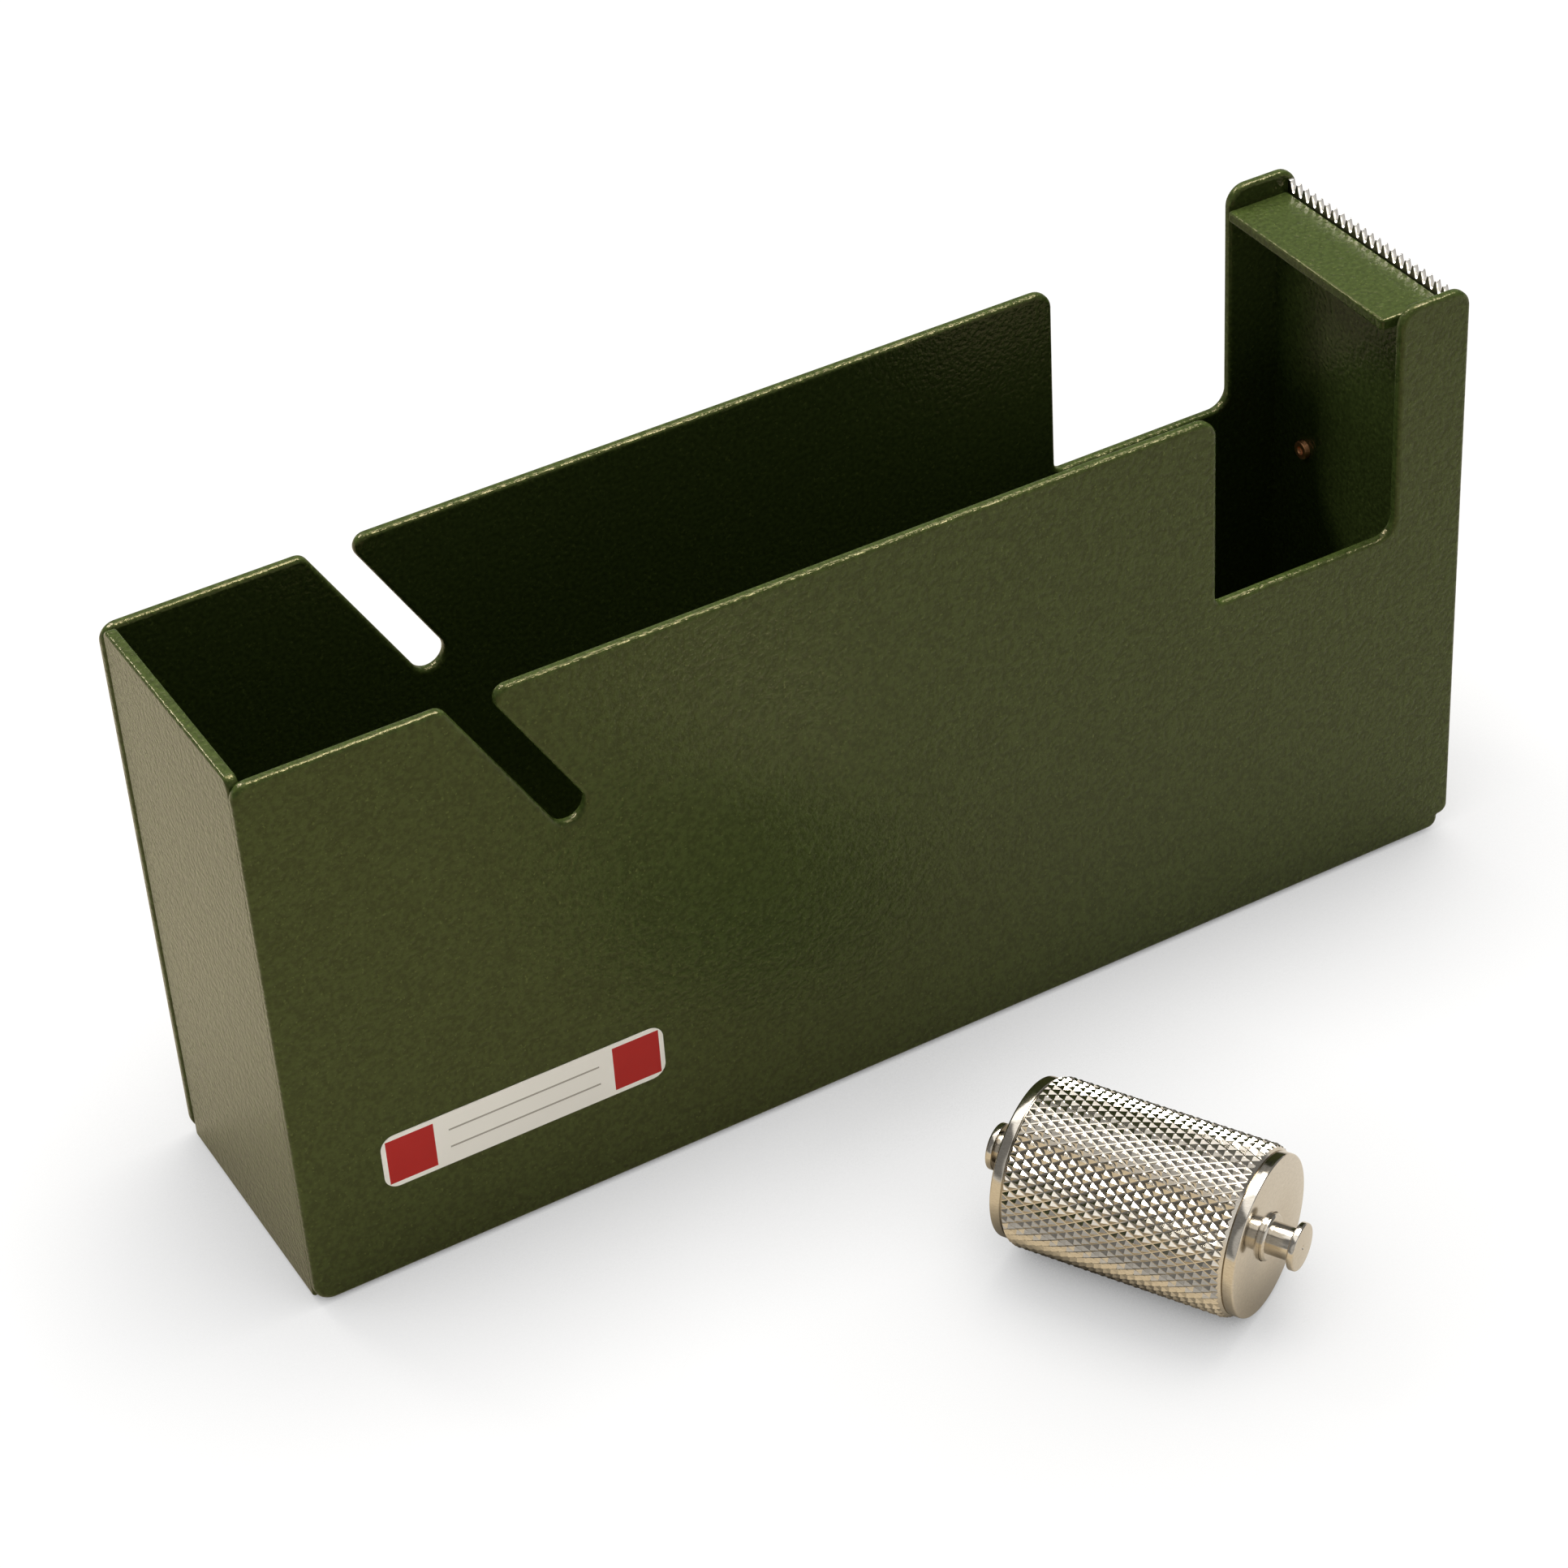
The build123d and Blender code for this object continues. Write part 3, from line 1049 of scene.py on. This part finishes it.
@dataclass
class Studio:
    """A pale floor, soft lamps, what gloss mirrors, and the camera."""

    lamps: tuple[Lamp, ...] = (
        Lamp("overhead", (0.70, 0.31, 2.06), (0.0, 0.0, 0.06), 1.3, 66.0, "#fffaf0"),
        Lamp("behind", (-0.40, 0.95, 1.04), (0.0, 0.0, 0.06), 0.3, 12.0, "#fffaf2"),
    )
    # The floor, in metres: how white it glows to the eye, its tone there, and its matt bounce.
    floor_side: float = 8.0
    floor_glow: float = 0.92
    floor_tone: str = "#505050"
    floor_bounce: str = "#fdfdfd"
    # Its soft contact shade: how far that reaches, and how deep it is to the eye and in gloss.
    shade_reach: float = 0.055
    shade_seen: float = 0.6
    shade_mirrored: float = 1.0
    shade_samples: int = 4
    # Its colour in gloss: warm on the left, and a painted shade, dark brown, behind the body from
    # this X and Y on.
    floor_left: str = "#ffecc9"
    floor_right: str = "#fff6e8"
    warm_span: Pair = (0.06, -0.03)
    behind_shade_colour: str = "#7d6d57"
    shade_behind_from: Pair = (-0.10, 0.04)
    shade_behind_fade: float = 0.06
    # The roller's shade in gloss: its centre, where it starts to fade and ends, and its depth.
    roller_shade_at: Point = (-0.004, -0.100, 0.0)
    roller_shade_span: Pair = (0.015, 0.046)
    roller_shade: float = 0.1
    # The surroundings: an even fill on matt surfaces, and how dim they are in gloss above the
    # horizon, past a fade of this height.
    fill: float = 0.15
    dim: float = 0.25
    horizon_fade: float = 0.1
    # Four white panels, and a small lamp whose glints run along the painted edges.
    panels: tuple[Panel, ...] = (
        Panel((0.12, -0.08, 0.99), 32.0, 1.6),
        Panel((0.02, 0.50, 0.87), 18.0, 2.4),
        Panel((-0.66, -0.61, 0.42), 26.0, 0.65),
        Panel((0.37, -0.90, 0.14), 22.0, 1.0),
        Panel((0.37, 0.0, 0.93), 10.0, 30.0, 2.0),
    )
    # The camera: where it stands, its own three directions, its lens and the film's width.
    eye_mm: Point = (-319.278, -593.613, 563.775)
    right: Point = (0.86418872, -0.49995597, -0.05676166)
    down: Point = (-0.34321145, -0.50320943, -0.79308648)
    forward: Point = (0.36794532, 0.70485764, -0.60645853)
    lens_mm: float = 98.213
    film_mm: float = 36.0

    def build(self) -> None:
        """Sets up everything round the object."""
        bpy.context.scene.view_settings.view_transform = "Standard"
        self.floor()
        self.surroundings()
        for lamp in self.lamps:
            lamp.light()
        self.camera()

    def shown(self, tree: bpy.types.NodeTree) -> bpy.types.NodeSocket:
        """One for a ray that shows the background: seen, mirrored or through glass.

        Args:
            tree: the tree that asks.

        Returns:
            The output that carries the answer.
        """
        path = add_node(tree, "ShaderNodeLightPath").outputs
        shown = path["Is Camera Ray"]
        for kind in ("Is Glossy Ray", "Is Transmission Ray"):
            shown = add_node(
                tree, "ShaderNodeMath", {0: shown, 1: path[kind]}, operation="MAXIMUM"
            ).outputs["Value"]
        return shown

    def floor(self) -> None:
        """The table top that the object stands on."""
        bm = bmesh.new()
        bmesh.ops.create_grid(bm, x_segments=1, y_segments=1, size=self.floor_side / 2)
        mesh = bpy.data.meshes.new("floor")
        bm.to_mesh(mesh)
        bm.free()
        mesh.materials.append(self.table_top())
        floor = bpy.data.objects.new("floor", mesh)
        bpy.context.scene.collection.objects.link(floor)

    def table_top(self) -> bpy.types.Material:
        """Mixes a matt white that glows white to the eye and still takes the object's shadow.

        Returns:
            The floor's material.
        """
        material = bpy.data.materials.new("white_table_top")
        material.use_nodes = True
        tree = material.node_tree
        tree.nodes.clear()
        glossy = add_node(tree, "ShaderNodeLightPath").outputs["Is Glossy Ray"]
        open_sky = add_node(
            tree,
            "ShaderNodeAmbientOcclusion",
            {"Distance": self.shade_reach},
            samples=self.shade_samples,
        )
        depth = add_node(
            tree,
            "ShaderNodeMapRange",
            {"Value": glossy, "To Min": self.shade_seen, "To Max": self.shade_mirrored},
        )
        shade = add_node(
            tree,
            "ShaderNodeMath",
            {0: open_sky.outputs["AO"], 1: depth.outputs["Result"]},
            operation="POWER",
        )
        level = add_node(
            tree,
            "ShaderNodeMath",
            {0: shade.outputs["Value"], 1: self.floor_glow},
            operation="MULTIPLY",
        )
        tint = add_node(
            tree,
            "ShaderNodeMix",
            {"Factor": glossy, "A": linear(WHITE), "B": self.mirrored_floor(tree)},
            data_type="RGBA",
        )
        glow = add_node(
            tree,
            "ShaderNodeEmission",
            {"Color": tint.outputs["Result"], "Strength": level.outputs["Value"]},
        )
        matt, lit = (
            add_node(tree, "ShaderNodeBsdfDiffuse", {"Color": linear(tone)})
            for tone in (self.floor_tone, self.floor_bounce)
        )
        seen = add_node(tree, "ShaderNodeAddShader", {0: glow.outputs[0], 1: matt.outputs[0]})
        mix = add_node(
            tree,
            "ShaderNodeMixShader",
            {0: self.shown(tree), 1: lit.outputs[0], 2: seen.outputs[0]},
        )
        add_node(tree, "ShaderNodeOutputMaterial", {"Surface": mix.outputs[0]})
        return material

    def mirrored_floor(self, tree: bpy.types.NodeTree) -> bpy.types.NodeSocket:
        """The floor's colour in gloss: warm on the left, with painted shade behind the body and
        round the roller.

        Args:
            tree: the floor's tree.

        Returns:
            The output that carries the colour.
        """
        spot = add_node(tree, "ShaderNodeTexCoord").outputs["Object"]
        place = add_node(tree, "ShaderNodeSeparateXYZ", {"Vector": spot}).outputs
        leftness = add_node(
            tree,
            "ShaderNodeMapRange",
            {"Value": place["X"], "From Min": self.warm_span[0], "From Max": self.warm_span[1]},
        )
        warmth = add_node(
            tree,
            "ShaderNodeMix",
            {
                "Factor": leftness.outputs["Result"],
                "A": linear(self.floor_right),
                "B": linear(self.floor_left),
            },
            data_type="RGBA",
        )
        # Painted shade: the floor behind the body turns dark brown in gloss.
        past = [
            add_node(
                tree,
                "ShaderNodeMapRange",
                {"Value": place[axis], "From Min": start, "From Max": start + self.shade_behind_fade},
            ).outputs["Result"]
            for axis, start in zip("XY", self.shade_behind_from)
        ]
        behind = add_node(
            tree, "ShaderNodeMath", {0: past[0], 1: past[1]}, operation="MULTIPLY"
        )
        colour = add_node(
            tree,
            "ShaderNodeMix",
            {
                "Factor": behind.outputs["Value"],
                "A": warmth.outputs["Result"],
                "B": linear(self.behind_shade_colour),
            },
            data_type="RGBA",
        )
        from_roller = add_node(
            tree, "ShaderNodeVectorMath", {0: spot, 1: self.roller_shade_at}, operation="DISTANCE"
        )
        brightness = add_node(
            tree,
            "ShaderNodeMapRange",
            {
                "Value": from_roller.outputs["Value"],
                "From Min": self.roller_shade_span[0],
                "From Max": self.roller_shade_span[1],
                "To Min": self.roller_shade,
                "To Max": 1.0,
            },
        )
        return add_node(
            tree,
            "ShaderNodeVectorMath",
            {0: colour.outputs["Result"], "Scale": brightness.outputs["Result"]},
            operation="SCALE",
        ).outputs["Vector"]

    def surroundings(self) -> None:
        """White to the eye, dim in gloss but for white panels, and a low fill on matt surfaces."""
        world = bpy.data.worlds.new("studio")
        world.use_nodes = True
        tree = world.node_tree
        tree.nodes.clear()
        towards = add_node(tree, "ShaderNodeTexCoord").outputs["Generated"]
        height = add_node(tree, "ShaderNodeSeparateXYZ", {"Vector": towards})
        light = add_node(
            tree,
            "ShaderNodeMapRange",
            {
                "Value": height.outputs["Z"],
                "From Min": 0.0,
                "From Max": self.horizon_fade,
                "To Min": 1.0,
                "To Max": self.dim,
            },
        ).outputs["Result"]
        for panel in self.panels:
            level = add_node(
                tree,
                "ShaderNodeVectorMath",
                {0: towards, 1: Vector(panel.towards).normalized()},
                operation="DOT_PRODUCT",
            )
            patch = add_node(
                tree,
                "ShaderNodeMapRange",
                {
                    "Value": level.outputs["Value"],
                    "From Min": math.cos(math.radians(panel.half_width + panel.soft_edge)),
                    "From Max": math.cos(math.radians(panel.half_width)),
                    "To Min": 0.0,
                    "To Max": panel.strength,
                },
            )
            light = add_node(
                tree,
                "ShaderNodeMath",
                {0: light, 1: patch.outputs["Result"]},
                operation="MAXIMUM",
            ).outputs["Value"]
        path = add_node(tree, "ShaderNodeLightPath")
        plain = add_node(
            tree,
            "ShaderNodeMath",
            {0: light, 1: path.outputs["Is Camera Ray"]},
            operation="MAXIMUM",
        )
        fill, seen = (
            add_node(tree, "ShaderNodeBackground", {"Color": linear(WHITE), "Strength": strength})
            for strength in (self.fill, plain.outputs["Value"])
        )
        mix = add_node(
            tree,
            "ShaderNodeMixShader",
            {0: self.shown(tree), 1: fill.outputs[0], 2: seen.outputs[0]},
        )
        add_node(tree, "ShaderNodeOutputWorld", {"Surface": mix.outputs[0]})
        bpy.context.scene.world = world

    def camera(self) -> None:
        """The camera that the object's perspective fits."""
        data = bpy.data.cameras.new("camera")
        data.lens = self.lens_mm
        data.sensor_width = self.film_mm
        camera = bpy.data.objects.new("camera", data)
        bpy.context.scene.collection.objects.link(camera)
        axes = Matrix((Vector(self.right), -Vector(self.down), -Vector(self.forward)))
        stand = Matrix.Translation(Vector(self.eye_mm) * MM)
        camera.matrix_world = stand @ axes.transposed().to_4x4()
        bpy.context.scene.camera = camera


def main() -> None:
    """Builds the sub-assemblies and the studio, and reports each piece."""
    logging.basicConfig(level=logging.INFO, format="%(name)s: %(message)s")
    paint = PowderCoat("olive_powder_coat", Slot.PAINT)
    steel = BladeSteel("ground_blade_steel", Slot.BLADE)
    rubber = MouldedRubber("moulded_black_rubber", Slot.FOOT)
    # Nickel plate on turned steel: a clear mirror, slightly warm.
    nickel = PlatedMetal("bright_nickel_plate", Slot.ROLLER)
    # Passivated zinc on the screws: a coppery, soft shine.
    zinc = PlatedMetal(
        "yellow_zinc_plate", Slot.SCREW, colour="#dfa678", dull_colour="#bf8a5f", roughness=0.5
    )
    # Porous bronze pressed from powder: brown and dull, with no clear mirror.
    bronze = PlatedMetal(
        "sintered_bronze", Slot.BUSH, colour="#b48a58", dull_colour="#8d6a40", roughness=0.4
    )
    assemblies = [
        PaintedShell(paint),
        Cutter(steel, zinc),
        NameLabel(),
        RubberFeet(rubber),
        KnurledRoller(nickel, bronze),
    ]
    count = sum(len(assembly.build()) for assembly in assemblies)
    Studio().build()
    LOG.info("%d pieces", count)


if __name__ == "__main__":
    main()
